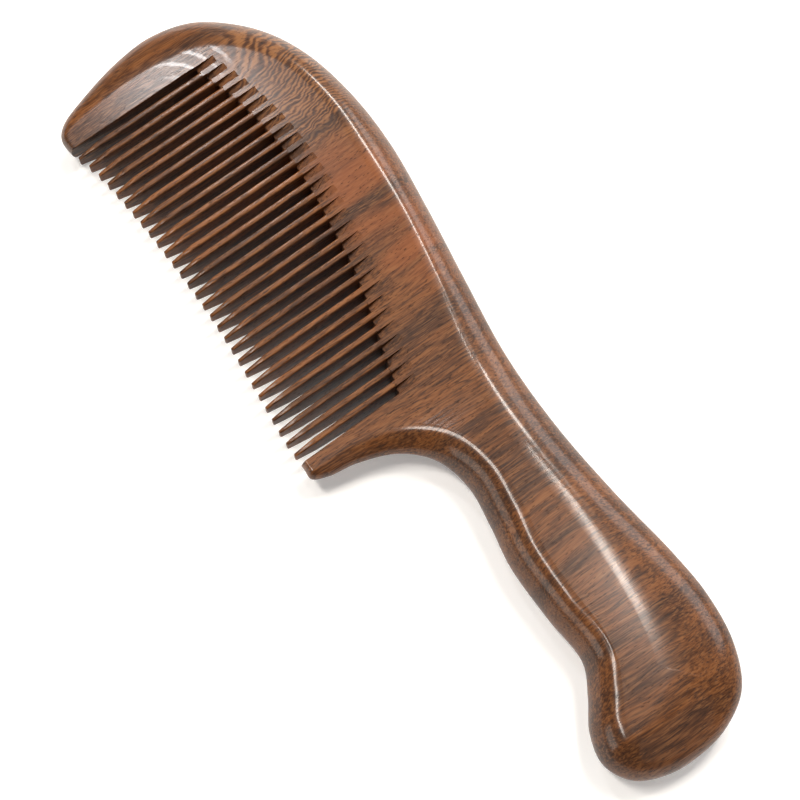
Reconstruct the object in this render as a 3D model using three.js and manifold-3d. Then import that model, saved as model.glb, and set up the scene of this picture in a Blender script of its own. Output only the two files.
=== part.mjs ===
// Handled wooden comb, lying on its back: an arched head with a row of straight teeth between two
// end guards, and a curved handle that swells into a bulb.
//
// Millimetres. +X runs from the nose of the head to the butt of the handle, +Y from the tooth tips
// to the spine, +Z up through the thickness. The comb is the same on both faces.
//
// The blank is a board with a worked edge. Its outline runs through named landmarks, and the edge
// is rounded over a width that each landmark gives, up to a ridge. Inside the ridge the face of the
// head is a wedge, thin at the tips and thick at the spine, and the face of the handle is flat. The
// blank is then divided: the teeth are let into the head with tenons, and the handle too.

import * as THREE from "three";
import { mergeVertices } from "three/addons/utils/BufferGeometryUtils.js";
import Module from "manifold-3d";

const wasm = await Module();
wasm.setup();

// ---------------------------------------------------------------- driving dimensions

const TOOTH_COUNT = 29;
const TOOTH_WIDTH = 1.2; // along X, at the root
const TOOTH_TIP_WIDTH = 0.7; // along X, at the blunt end
const TOOTH_TIP_THICKNESS = 2.6; // along Z, at the blunt end
const TOOTH_TAPER_LENGTH = 5; // the last stretch, over which a tooth narrows and thins
const SLOT_WIDTH = 1.68; // clear gap between two teeth

const NOSE_GUARD_WIDTH = 14.5; // nose of the head to the first slot
const REAR_GUARD_WIDTH = 4.8; // last slot to the notch side of the rear guard, at its tip
const HANDLE_LENGTH = 84.7; // rear guard to the butt

const BODY_THICKNESS = 13; // at the spine ridge and all along the handle
const TIP_THICKNESS = 3.8; // of the head at the guards' tips
const TIP_LINE = -28.2; // Y of the guards' tips
const CROWN_LINE = 22.1; // Y of the ridge at the crown, where the wedge is as thick as the handle
const NECK_START = 3.6; // from the last slot to where the wedge starts to fade
const NECK_END = 24.6; // from the last slot to where the handle is at full thickness

const EDGE_CHAMFER_SHARE = 0.36; // how much of the edge's drop is straight, the rest is round

const RAMP_LENGTH = 4.3; // run-out of each slot beyond its root, in the face of the head
const RAMP_DEPTH = 1.3; // depth of the run-out where it meets the slot

const TOOTH_TENON_LENGTH = 5;
const TOOTH_TENON_THICKNESS = 3;
const TOOTH_TENON_SHOULDER = 0.2; // set back of the tenon from each side of its tooth
const HANDLE_TENON_LENGTH = 10;
const HANDLE_TENON_HEIGHT = 11;
const HANDLE_TENON_THICKNESS = 5;
const HANDLE_JOINT_OFFSET = 15.6; // last slot to the face where the handle meets the head
const GLUE_GAP = 0.2; // between a tenon or a shoulder and what it is let into

const OUTLINE_STEPS = 3; // straight pieces between two landmarks of the outline
const EDGE_RINGS = [1, 0.96, 0.85, 0.6, 0.3, 0]; // places across the worked edge, rim to ridge
const CURVE_SAMPLES = 6; // places between two landmarks at which a curve is read back
const WELD = 1e-4; // points closer than this are one point

const CLEAR = 10; // how far a cutter runs past what it cuts
const ACROSS = 60; // half the span of a cutter that takes in the whole width of the comb
const BITE = 1; // how far an added or cut shape reaches back into its neighbour
const THINNEST = 0.05; // least half width and half thickness of a tooth's cutters, past the tip

// ---------------------------------------------------------------- derived places

const HALF_BODY = BODY_THICKNESS / 2;
const HALF_TIP = TIP_THICKNESS / 2;
const TOOTH_PITCH = TOOTH_WIDTH + SLOT_WIDTH;
const FIELD_LENGTH = TOOTH_COUNT * TOOTH_PITCH + SLOT_WIDTH;
const WEDGE_SLOPE = (HALF_BODY - HALF_TIP) / (CROWN_LINE - TIP_LINE);
const JOINT_X = FIELD_LENGTH + HANDLE_JOINT_OFFSET;
const JOINT_Y = 6.4; // middle of the handle's neck, where its tenon sits

// X is counted from the slot side of the nose guard. A place on the head is a share of the tooth
// field, a place on the nose guard or the handle is a share of that piece's own length.
const onField = (share) => share * FIELD_LENGTH;
const onNose = (share) => -share * NOSE_GUARD_WIDTH;
const onGuard = (share) => FIELD_LENGTH + share * REAR_GUARD_WIDTH;
const onHandle = (share) => FIELD_LENGTH + REAR_GUARD_WIDTH + share * HANDLE_LENGTH;

// ---------------------------------------------------------------- outline of the blank

// Each landmark is [X, Y, width of the worked edge there]. They run clockwise, seen from above,
// starting at the nose.
const spineLandmarks = [
  [onNose(1), 0.5, 7.6], // nose
  [onNose(0.85), 9.8, 7.6],
  [onNose(0.47), 16.9, 7],
  [onNose(-0.03), 22.4, 6.5],
  [onField(0.119), 26.2, 5.9],
  [onField(0.277), 28.1, 6.1], // crown
  [onField(0.437), 27.8, 6.8],
  [onField(0.627), 25.3, 6.2],
  [onField(0.837), 21.9, 6.6],
  [onHandle(0), 18.6, 7.9],
  [onHandle(0.21), 17.6, 8.4], // waist
  [onHandle(0.42), 18.4, 8.9],
  [onHandle(0.609), 20, 11],
  [onHandle(0.729), 20.2, 12.4], // hump over the bulb
  [onHandle(0.849), 18.3, 13],
  [onHandle(0.942), 13.8, 12.6],
  [onHandle(0.987), 6.9, 11],
];
const undersideLandmarks = [
  [onHandle(1), 0, 9.8], // butt
  [onHandle(0.992), -7.3, 8],
  [onHandle(0.957), -13.3, 6.4],
  [onHandle(0.893), -16, 5.4], // heel of the bulb
  [onHandle(0.822), -14.5, 4.9],
  [onHandle(0.755), -10.5, 4.6],
  [onHandle(0.687), -7.3, 4.5],
  [onHandle(0.562), -7.5, 4.5],
  [onHandle(0.42), -7.2, 5],
  [onHandle(0.315), -5.4, 5.2],
  [onHandle(0.209), -4.1, 4.9], // top of the finger notch
  [onHandle(0.115), -5.9, 4.6],
  [onHandle(0.05), -11.1, 3.8],
  [onHandle(0.012), -19.1, 2.7],
  [onGuard(1), -25, 1.8],
  [onGuard(0.67), TIP_LINE, 1.1], // tip of the rear guard
  [onGuard(0.16), TIP_LINE, 0.8],
  [onField(0.937), -28.2, 1.4], // the tooth tips follow a shallow arch
  [onField(0.807), -27, 1.4],
  [onField(0.607), -25.4, 1.4],
  [onField(0.407), -25, 1.4],
  [onField(0.207), -25.5, 1.4],
  [onField(0.078), -26.6, 1.4],
  [onNose(0), TIP_LINE, 0.8],
  [onNose(0.29), TIP_LINE, 1.2], // tip of the nose guard
  [onNose(0.48), -26, 2.2],
  [onNose(0.7), -19, 3.8],
  [onNose(0.92), -8.8, 6],
];

// Roots of the teeth, where the slots end, as shares of the tooth field and Y.
const rootLandmarks = [
  [0, 3.4],
  [0.11, 6],
  [0.21, 7.3],
  [0.32, 7.8],
  [0.43, 7.3],
  [0.56, 5.7],
  [0.71, 3.3],
  [0.86, -0.7],
  [1, -4.4],
];

function curveThrough(points, closed) {
  const along = points.map(([x, y, width = 0]) => new THREE.Vector3(x, y, width));
  return new THREE.CatmullRomCurve3(along, closed, "centripetal");
}

// Y of the root line at a given X on the tooth field.
const rootSamples = curveThrough(rootLandmarks.map(([share, y]) => [onField(share), y]), false)
  .getPoints(rootLandmarks.length * CURVE_SAMPLES);
function rootAt(x) {
  const next = rootSamples.findIndex((p) => p.x >= x);
  const b = rootSamples[Math.max(next, 1)];
  const a = rootSamples[Math.max(next, 1) - 1];
  return THREE.MathUtils.lerp(a.y, b.y, (x - a.x) / (b.x - a.x));
}

// Half the thickness of the board between its ridges.
function faceHeight(x, y) {
  const wedge = Math.min(HALF_BODY, HALF_TIP + (y - TIP_LINE) * WEDGE_SLOPE);
  const neck = THREE.MathUtils.smoothstep(x, FIELD_LENGTH + NECK_START, FIELD_LENGTH + NECK_END);
  return THREE.MathUtils.lerp(wedge, HALF_BODY, neck);
}

// How far the worked edge has dropped below the ridge, as a share: 0 at the ridge, 1 at the rim.
function edgeDrop(share) {
  const round = 1 - Math.sqrt(Math.max(0, 1 - share * share));
  return EDGE_CHAMFER_SHARE * share + (1 - EDGE_CHAMFER_SHARE) * round;
}

// ---------------------------------------------------------------- solids

function solidFrom(geometry) {
  const bare = geometry.clone();
  bare.deleteAttribute("normal");
  bare.deleteAttribute("uv");
  const merged = mergeVertices(bare, WELD);
  return new wasm.Manifold(
    new wasm.Mesh({
      numProp: 3,
      vertProperties: new Float32Array(merged.attributes.position.array),
      triVerts: new Uint32Array(merged.index.array),
    }),
  );
}

function prism(outline, bottom, top) {
  const shape = new THREE.Shape(outline.map(([x, y]) => new THREE.Vector2(x, y)));
  const geometry = new THREE.ExtrudeGeometry(shape, { depth: top - bottom, bevelEnabled: false });
  geometry.translate(0, 0, bottom);
  return solidFrom(geometry);
}

// A prism that runs along X, from an outline given in Y and Z.
function prismAlongX(outline, from, to) {
  const shape = new THREE.Shape(outline.map(([y, z]) => new THREE.Vector2(y, z)));
  const geometry = new THREE.ExtrudeGeometry(shape, { depth: to - from, bevelEnabled: false });
  geometry.rotateX(Math.PI / 2);
  geometry.rotateZ(Math.PI / 2);
  geometry.translate(from, 0, 0);
  return solidFrom(geometry);
}

function block(x0, x1, y0, y1, halfThickness) {
  const geometry = new THREE.BoxGeometry(x1 - x0, y1 - y0, 2 * halfThickness);
  geometry.translate((x0 + x1) / 2, (y0 + y1) / 2, 0);
  return solidFrom(geometry);
}

// ---------------------------------------------------------------- blank

// One closed ring round the blank for each share of the edge width, from the rim (1) to the
// ridge (0), as points [X, Y, half thickness].
function edgeRings(shares) {
  const landmarks = [...spineLandmarks, ...undersideLandmarks];
  const rim = curveThrough(landmarks, true);
  const count = landmarks.length * OUTLINE_STEPS;
  const rings = shares.map(() => []);
  for (let i = 0; i < count; i += 1) {
    const t = i / count;
    const at = rim.getPoint(t);
    const along = rim.getTangent(t);
    const inward = new THREE.Vector2(along.y, -along.x).normalize();
    const ridgeX = at.x + inward.x * at.z;
    const ridgeY = at.y + inward.y * at.z;
    const ridgeHeight = faceHeight(ridgeX, ridgeY);
    shares.forEach((share, ring) => {
      rings[ring].push([
        THREE.MathUtils.lerp(ridgeX, at.x, share),
        THREE.MathUtils.lerp(ridgeY, at.y, share),
        ridgeHeight * (1 - edgeDrop(share)),
      ]);
    });
  }
  return rings;
}

// Closes the face inside the ridge with triangles between its spine side and its underside.
function faceTriangles(ridge) {
  const spineCount = spineLandmarks.length * OUTLINE_STEPS;
  const upper = Array.from({ length: spineCount + 1 }, (_, i) => i);
  const lower = Array.from({ length: ridge.length - spineCount + 1 }, (_, i) => {
    return (ridge.length - i) % ridge.length;
  });
  const triangles = [];
  let u = 0;
  let l = 0;
  while (u < upper.length - 1 || l < lower.length - 1) {
    const upperNext = u < upper.length - 1 ? ridge[upper[u + 1]][0] : Infinity;
    const lowerNext = l < lower.length - 1 ? ridge[lower[l + 1]][0] : Infinity;
    if (upperNext <= lowerNext) {
      triangles.push([upper[u], lower[l], upper[u + 1]]);
      u += 1;
    } else {
      triangles.push([upper[u], lower[l], lower[l + 1]]);
      l += 1;
    }
  }
  return triangles.filter(([a, b, c]) => a !== b && b !== c && a !== c);
}

function makeBlank() {
  const rings = edgeRings(EDGE_RINGS);
  const count = rings[0].length;
  const positions = [];
  const indices = [];
  // The rim is shared by both faces, every other ring is there once for each face.
  rings.forEach((ring, depth) => {
    const sides = depth === 0 ? [0] : [1, -1];
    sides.forEach((side) => {
      ring.forEach(([x, y, z]) => positions.push(x, y, side * z));
    });
  });
  const vertex = (depth, side, i) => {
    const row = depth === 0 ? 0 : 2 * depth - (side > 0 ? 1 : 0);
    return row * count + (i % count);
  };
  const face = (side, a, b, c) => {
    if (side > 0) indices.push(a, b, c);
    else indices.push(a, c, b);
  };
  for (const side of [1, -1]) {
    for (let depth = 0; depth < rings.length - 1; depth += 1) {
      for (let i = 0; i < count; i += 1) {
        const a = vertex(depth, side, i);
        const b = vertex(depth, side, i + 1);
        const c = vertex(depth + 1, side, i + 1);
        const d = vertex(depth + 1, side, i);
        face(side, a, c, b);
        face(side, a, d, c);
      }
    }
    for (const [a, b, c] of faceTriangles(rings[rings.length - 1])) {
      const last = rings.length - 1;
      face(side, vertex(last, side, a), vertex(last, side, b), vertex(last, side, c));
    }
  }
  const geometry = new THREE.BufferGeometry();
  geometry.setAttribute("position", new THREE.Float32BufferAttribute(positions, 3));
  geometry.setIndex(indices);
  return solidFrom(geometry);
}

// ---------------------------------------------------------------- teeth, slots and joints

const toothCentre = (k) => SLOT_WIDTH + TOOTH_WIDTH / 2 + k * TOOTH_PITCH;
const slotCentre = (k) => SLOT_WIDTH / 2 + k * TOOTH_PITCH;

// A tooth's shoulder stops a glue gap short of the shorter of the two slots beside it, so that the
// whole blade stands clear of the head.
function shoulderAt(k) {
  return Math.min(rootAt(slotCentre(k)), rootAt(slotCentre(k + 1))) - GLUE_GAP;
}

// Cutters for the teeth run past the rim of the blank, which trims the tips.
const PAST_TIPS = TIP_LINE - CLEAR;

// Plan of one tooth: straight from its root, then narrower towards the tip.
function toothPlan(k) {
  const x = toothCentre(k);
  const half = TOOTH_WIDTH / 2;
  const halfTip = TOOTH_TIP_WIDTH / 2;
  const shoulder = shoulderAt(k);
  const taperStart = tipAt(x) + TOOTH_TAPER_LENGTH;
  const reach = halfTip - ((half - halfTip) * (tipAt(x) - PAST_TIPS)) / TOOTH_TAPER_LENGTH;
  const stop = Math.max(reach, THINNEST);
  return [
    [x - half, shoulder],
    [x - half, taperStart],
    [x - halfTip, tipAt(x)],
    [x - stop, PAST_TIPS],
    [x + stop, PAST_TIPS],
    [x + halfTip, tipAt(x)],
    [x + half, taperStart],
    [x + half, shoulder],
  ];
}

// Side of one tooth: as thick as the head, then thinner on both faces towards the tip.
function toothSide(k) {
  const x = toothCentre(k);
  const tip = tipAt(x);
  const halfTip = TOOTH_TIP_THICKNESS / 2;
  const full = faceHeight(x, tip + TOOTH_TAPER_LENGTH);
  const slope = (full - halfTip) / TOOTH_TAPER_LENGTH;
  const stop = Math.max(halfTip - slope * (tip - PAST_TIPS), THINNEST);
  const top = shoulderAt(k) + BITE;
  const rise = halfTip + slope * (top - tip);
  return [
    [PAST_TIPS, -stop],
    [tip, -halfTip],
    [top, -rise],
    [top, rise],
    [tip, halfTip],
    [PAST_TIPS, stop],
  ];
}

// Y of the rim at the tooth tips.
const rimSamples = curveThrough(undersideLandmarks, false)
  .getPoints(undersideLandmarks.length * CURVE_SAMPLES);
function tipAt(x) {
  const next = rimSamples.findIndex((p, i) => i > 0 && p.x <= x && p.y < TIP_LINE + CLEAR);
  const a = rimSamples[next - 1];
  const b = rimSamples[next];
  return THREE.MathUtils.lerp(a.y, b.y, (x - a.x) / (b.x - a.x));
}

function toothTenon(k, gap) {
  const x = toothCentre(k);
  const half = TOOTH_WIDTH / 2 - TOOTH_TENON_SHOULDER + gap;
  const shoulder = shoulderAt(k);
  const top = shoulder + TOOTH_TENON_LENGTH + gap;
  return block(x - half, x + half, shoulder - BITE, top, TOOTH_TENON_THICKNESS / 2 + gap);
}

function handleTenon(gap) {
  const half = HANDLE_TENON_HEIGHT / 2 + gap;
  const end = JOINT_X - HANDLE_TENON_LENGTH - gap;
  const halfThickness = HANDLE_TENON_THICKNESS / 2 + gap;
  return block(end, JOINT_X + BITE, JOINT_Y - half, JOINT_Y + half, halfThickness);
}

// Everything between the guards and below the roots, stepped where each slot and tooth ends.
function toothField() {
  const steps = [[0, PAST_TIPS]];
  for (let k = 0; k <= TOOTH_COUNT; k += 1) {
    const slot = slotCentre(k);
    steps.push([slot - SLOT_WIDTH / 2, rootAt(slot)]);
    steps.push([slot + SLOT_WIDTH / 2, rootAt(slot)]);
    if (k < TOOTH_COUNT) {
      const tooth = toothCentre(k);
      steps.push([tooth - TOOTH_WIDTH / 2, shoulderAt(k) + GLUE_GAP]);
      steps.push([tooth + TOOTH_WIDTH / 2, shoulderAt(k) + GLUE_GAP]);
    }
  }
  steps.push([FIELD_LENGTH, PAST_TIPS]);
  return prism(steps, -BODY_THICKNESS, BODY_THICKNESS);
}

// The shallow run-out that continues a slot into one face of the head.
function slotRamp(k, side) {
  const x = slotCentre(k);
  const root = rootAt(x);
  const floorAtRoot = faceHeight(x, root) - RAMP_DEPTH;
  const end = root + RAMP_LENGTH;
  const outline = [
    [root - BITE, side * (floorAtRoot - (BITE * RAMP_DEPTH) / RAMP_LENGTH)],
    [end, side * faceHeight(x, end)],
    [end, side * BODY_THICKNESS],
    [root - BITE, side * BODY_THICKNESS],
  ];
  if (side < 0) outline.reverse();
  return prismAlongX(outline, x - SLOT_WIDTH / 2, x + SLOT_WIDTH / 2);
}

function makeHead(blank) {
  const headSide = block(-NOSE_GUARD_WIDTH - CLEAR, JOINT_X, -ACROSS, ACROSS, BODY_THICKNESS);
  let head = blank.intersect(headSide).subtract(toothField());
  for (let k = 0; k <= TOOTH_COUNT; k += 1) {
    head = head.subtract(slotRamp(k, 1)).subtract(slotRamp(k, -1));
  }
  for (let k = 0; k < TOOTH_COUNT; k += 1) {
    head = head.subtract(toothTenon(k, GLUE_GAP));
  }
  return head.subtract(handleTenon(GLUE_GAP));
}

function makeHandle(blank) {
  const from = JOINT_X + GLUE_GAP;
  const to = onHandle(1) + CLEAR;
  const handleSide = block(from, to, -ACROSS, ACROSS, BODY_THICKNESS);
  return blank.intersect(handleSide).add(handleTenon(0));
}

function makeTooth(blank, k) {
  const x = toothCentre(k);
  const plan = prism(toothPlan(k), -BODY_THICKNESS, BODY_THICKNESS);
  const side = prismAlongX(toothSide(k), x - TOOTH_WIDTH, x + TOOTH_WIDTH);
  return blank.intersect(plan).intersect(side).add(toothTenon(k, 0));
}

// ---------------------------------------------------------------- assembly

const woods = {
  head: new THREE.MeshStandardMaterial({ color: 0x6b4129, roughness: 0.32, metalness: 0 }),
  handle: new THREE.MeshStandardMaterial({ color: 0x65402c, roughness: 0.32, metalness: 0 }),
  tooth: new THREE.MeshStandardMaterial({ color: 0x5c3622, roughness: 0.4, metalness: 0 }),
};

function meshOf(name, solid, material) {
  const { vertProperties, triVerts } = solid.getMesh();
  const geometry = new THREE.BufferGeometry();
  geometry.setAttribute("position", new THREE.Float32BufferAttribute(vertProperties, 3));
  geometry.setIndex(Array.from(triVerts));
  geometry.computeVertexNormals();
  const mesh = new THREE.Mesh(geometry, material.clone());
  mesh.name = name;
  return mesh;
}

const blank = makeBlank();
const comb = new THREE.Group();
comb.add(meshOf("head", makeHead(blank), woods.head));
comb.add(meshOf("handle", makeHandle(blank), woods.handle));
for (let k = 0; k < TOOTH_COUNT; k += 1) {
  const name = "tooth_" + String(k + 1).padStart(2, "0");
  comb.add(meshOf(name, makeTooth(blank, k), woods.tooth));
}

// The origin is under the middle of the comb's box, on the surface that it lies on.
const box = new THREE.Box3().setFromObject(comb);
const middle = box.getCenter(new THREE.Vector3());
comb.position.set(-middle.x, -middle.y, -box.min.z);

const part = new THREE.Group();
part.add(comb);

export default part;
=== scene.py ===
"""Polished hardwood comb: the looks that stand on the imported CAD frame.

The comb lies on its back. X runs from the nose of the head to the butt of the handle, Y from the
tooth tips to the spine and Z up through the thickness. Lengths here are millimetres from the slot
side of the nose guard, as a comb maker marks them out, and `Bench` turns them into metres in the
frame. The board, the slots and the teeth follow the same measures as the CAD model.
"""

import logging
import math
from dataclasses import dataclass, field
from enum import Enum
from typing import Any, Callable, Sequence, Union

import bmesh
import bpy
from mathutils import Matrix, Vector

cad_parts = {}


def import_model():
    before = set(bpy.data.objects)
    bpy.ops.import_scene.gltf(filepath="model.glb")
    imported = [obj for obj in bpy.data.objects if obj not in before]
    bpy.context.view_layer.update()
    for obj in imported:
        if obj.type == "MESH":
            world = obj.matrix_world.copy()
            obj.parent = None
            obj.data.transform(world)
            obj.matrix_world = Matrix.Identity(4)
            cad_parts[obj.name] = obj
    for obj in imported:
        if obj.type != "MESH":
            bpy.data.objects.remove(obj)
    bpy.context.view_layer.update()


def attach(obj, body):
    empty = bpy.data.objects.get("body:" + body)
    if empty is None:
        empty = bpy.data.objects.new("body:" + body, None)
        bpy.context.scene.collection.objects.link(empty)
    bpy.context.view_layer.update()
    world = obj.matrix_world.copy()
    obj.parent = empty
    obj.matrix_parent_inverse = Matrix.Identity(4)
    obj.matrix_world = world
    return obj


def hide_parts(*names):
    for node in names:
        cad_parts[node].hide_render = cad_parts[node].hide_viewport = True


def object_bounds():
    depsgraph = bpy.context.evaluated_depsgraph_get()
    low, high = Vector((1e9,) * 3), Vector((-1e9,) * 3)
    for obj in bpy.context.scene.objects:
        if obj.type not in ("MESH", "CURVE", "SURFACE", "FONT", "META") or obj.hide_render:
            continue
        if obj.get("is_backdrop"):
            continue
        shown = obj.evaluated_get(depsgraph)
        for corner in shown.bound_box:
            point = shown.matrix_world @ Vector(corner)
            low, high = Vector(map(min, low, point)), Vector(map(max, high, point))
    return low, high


LOG = logging.getLogger("comb")
MM = 0.001

# Faces that turn by less than this many degrees are shaded as one smooth surface.
CARVED_CREASE = 12
TOOTH_CREASE = 40


# ------------------------------------------------------------------------------ bench


class Face(Enum):
    """The two faces of the comb."""

    FRONT = 1
    BACK = -1


@dataclass(frozen=True)
class Bench:
    """Where the maker's marks lie in the frame.

    Attributes:
        origin_x: Frame X in millimetres of the slot side of the nose guard.
        origin_y: Frame Y in millimetres of the maker's Y zero.
        middle_z: Frame Z in millimetres of the middle of the board.
        low: Lowest corner of the CAD model, in metres.
        high: Highest corner of the CAD model, in metres.
    """

    origin_x: float
    origin_y: float
    middle_z: float
    low: Vector
    high: Vector

    def place(self, x: float, y: float, z: float) -> Vector:
        """Returns a marked point in metres in the frame."""
        return Vector((x + self.origin_x, y + self.origin_y, z + self.middle_z)) * MM


def deselect() -> None:
    """Leaves object mode with nothing selected."""
    if bpy.context.object and bpy.context.object.mode != "OBJECT":
        bpy.ops.object.mode_set(mode="OBJECT")
    bpy.ops.object.select_all(action="DESELECT")


def pick(piece: bpy.types.Object) -> None:
    """Selects one piece alone and makes it active.

    Args:
        piece: The piece.
    """
    deselect()
    piece.select_set(True)
    bpy.context.view_layer.objects.active = piece


def choose(
    piece: bpy.types.Object,
    mode: str,
    test: Callable[[Any], bool],
) -> None:
    """Selects the elements of a mesh that pass a test, ready for an edit mode operator.

    Args:
        piece: The piece in edit mode.
        mode: VERT, EDGE or FACE.
        test: Takes a bmesh element and says whether it is wanted.
    """
    bpy.ops.mesh.select_mode(type=mode)
    bpy.ops.mesh.select_all(action="DESELECT")
    mesh = bmesh.from_edit_mesh(piece.data)
    elements = {"VERT": mesh.verts, "EDGE": mesh.edges, "FACE": mesh.faces}[mode]
    for element in [element for element in elements if test(element)]:
        element.select_set(True)
    mesh.select_flush_mode()
    bmesh.update_edit_mesh(piece.data)


def cut_away(piece: bpy.types.Object, cutter: bpy.types.Object) -> None:
    """Saws the shape of a cutter out of a piece and throws the cutter away.

    Args:
        piece: The piece to saw.
        cutter: The shape to take out of it.
    """
    pick(piece)
    saw = piece.modifiers.new("saw", "BOOLEAN")
    saw.operation = "DIFFERENCE"
    saw.solver = "EXACT"
    saw.object = cutter
    bpy.ops.object.modifier_apply(modifier=saw.name)
    bpy.data.objects.remove(cutter)


def joined(pieces: Sequence[bpy.types.Object], name: str) -> bpy.types.Object:
    """Joins pieces into one object.

    Args:
        pieces: What is joined. The first of them takes in the others.
        name: Name of the joined object.

    Returns:
        The joined object.
    """
    deselect()
    for piece in pieces:
        piece.select_set(True)
    bpy.context.view_layer.objects.active = pieces[0]
    bpy.ops.object.join()
    pieces[0].name = name
    return pieces[0]


def settle(piece: bpy.types.Object) -> None:
    """Puts the place, turn and scale of a piece into its mesh."""
    pick(piece)
    bpy.ops.object.transform_apply(location=True, rotation=True, scale=True)


def trim(piece: bpy.types.Object, at: Vector, away: Vector) -> None:
    """Saws a piece off square and closes the end.

    Args:
        piece: The piece to saw.
        at: A point on the cut, in metres.
        away: Direction of the part that is thrown away.
    """
    pick(piece)
    bpy.ops.object.mode_set(mode="EDIT")
    bpy.ops.mesh.select_all(action="SELECT")
    bpy.ops.mesh.bisect(plane_co=at, plane_no=away, use_fill=True, clear_outer=True)
    bpy.ops.object.mode_set(mode="OBJECT")


def smooth(piece: bpy.types.Object, degrees: float) -> None:
    """Shades a piece smooth, with creases where its faces turn by more than an angle.

    Args:
        piece: The piece to shade.
        degrees: The angle.
    """
    pick(piece)
    bpy.ops.object.shade_smooth_by_angle(angle=math.radians(degrees))
    evened = piece.modifiers.new("evened", "WEIGHTED_NORMAL")
    evened.keep_sharp = True
    bpy.ops.object.modifier_apply(modifier=evened.name)


def sawn_block(
    outline: Sequence[tuple[float, float]],
    bottom: float,
    depth: float,
    bench: Bench,
    name: str,
) -> bpy.types.Object:
    """Makes an upright block from an outline.

    Args:
        outline: Corners as (x, y).
        bottom: Height of its underside.
        depth: How tall it is.
        bench: Where the pattern lies in the frame.
        name: Name of the new object.

    Returns:
        The block.
    """
    mesh = bpy.data.meshes.new(name)
    points = [bench.place(x, y, bottom)[:] for x, y in outline]
    mesh.from_pydata(points, [], [tuple(range(len(points)))])
    block = bpy.data.objects.new(name, mesh)
    bpy.context.collection.objects.link(block)
    pick(block)
    bpy.ops.object.mode_set(mode="EDIT")
    bpy.ops.mesh.select_all(action="SELECT")
    bpy.ops.mesh.extrude_region_move(TRANSFORM_OT_translate={"value": (0, 0, depth * MM)})
    bpy.ops.mesh.select_all(action="SELECT")
    bpy.ops.mesh.normals_make_consistent(inside=False)
    bpy.ops.object.mode_set(mode="OBJECT")
    return block


# ------------------------------------------------------------------------------ measures


@dataclass(frozen=True)
class Mark:
    """A mark on the outline of the board.

    Attributes:
        x: Place along the comb.
        y: Place across the comb.
        edge: Width of the worked edge at this mark.
    """

    x: float
    y: float
    edge: float


@dataclass(frozen=True)
class Measures:
    """The sizes that every part of the comb shares, in millimetres.

    Attributes:
        teeth: How many teeth stand between the guards.
        tooth_width: Width of a tooth at its root.
        tip_width: Width of a tooth at its blunt end.
        tip_depth: Thickness of a tooth at its blunt end.
        taper: Last stretch of a tooth, over which it narrows and thins.
        slot: Clear gap between two teeth.
        nose: Length of the nose guard.
        guard: Width of the rear guard at its tip.
        handle: Length of the handle.
        thickness: Thickness of the board at the spine and along the handle.
        tip_thickness: Thickness of the head at the guards' tips.
        tip_line: Y of the tips of the guards.
        crown_line: Y of the ridge at the crown.
        neck_start: From the last slot to where the wedge starts to fade.
        neck_end: From the last slot to where the handle is at full thickness.
        joint: From the last slot to where the handle meets the head.
        ramp: Length of the run-out beyond each slot.
        ramp_depth: Depth of the run-out where it meets its slot.
        chamfer: How much of the drop of the worked edge is straight.
        ridge_ease: How far the ridge is rubbed down, as a share of its height.
    """

    teeth: int = 29
    tooth_width: float = 1.2
    tip_width: float = 0.7
    tip_depth: float = 2.6
    taper: float = 5
    slot: float = 1.68
    nose: float = 14.5
    guard: float = 4.8
    handle: float = 84.7
    thickness: float = 13
    tip_thickness: float = 3.8
    tip_line: float = -28.2
    crown_line: float = 22.1
    neck_start: float = 3.6
    neck_end: float = 24.6
    joint: float = 15.6
    ramp: float = 4.3
    ramp_depth: float = 1.3
    chamfer: float = 0.36
    ridge_ease: float = 0.11

    @property
    def pitch(self) -> float:
        """Distance from one tooth to the next."""
        return self.tooth_width + self.slot

    @property
    def field(self) -> float:
        """Length of the tooth field, guard to guard."""
        return self.teeth * self.pitch + self.slot

    @property
    def wedge(self) -> float:
        """Rise of the face of the head for each millimetre from the tips to the crown."""
        return (self.thickness - self.tip_thickness) / 2 / (self.crown_line - self.tip_line)

    def tooth_middle(self, k: int) -> float:
        """X of the middle of tooth k."""
        return self.slot + self.tooth_width / 2 + k * self.pitch

    def slot_middle(self, k: int) -> float:
        """X of the middle of slot k."""
        return self.slot / 2 + k * self.pitch

    def face_height(self, x: float, y: float) -> float:
        """Returns half the thickness of the board between its ridges.

        Args:
            x: Place along the comb.
            y: Place across the comb.
        """
        half = self.thickness / 2
        wedge = self.tip_thickness / 2 + (y - self.tip_line) * self.wedge
        share = (x - self.field - self.neck_start) / (self.neck_end - self.neck_start)
        share = min(max(share, 0), 1)
        neck = share * share * (3 - 2 * share)
        return wedge + (half - wedge) * neck

    def tooth_height(self, x: float, y: float, tip: float) -> float:
        """Returns half the thickness of a tooth.

        Args:
            x: Place along the comb.
            y: Place across the comb.
            tip: Y of the blunt end of the tooth.
        """
        share = (y - tip) / self.taper
        if share >= 1:
            return self.face_height(x, y)
        full, end = self.face_height(x, tip + self.taper), self.tip_depth / 2
        return end + (full - end) * max(share, 0)

    def edge_drop(self, share: float) -> float:
        """Returns how far the worked edge has dropped, 0 at the ridge and 1 at the rim.

        Args:
            share: Place across the edge, 0 at the ridge, 1 at the rim, below 0 inside it.
        """
        if share <= 0:
            return self.chamfer * share
        round_part = 1 - math.sqrt(max(0.0, 1 - share * share))
        return self.chamfer * share + (1 - self.chamfer) * round_part


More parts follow.
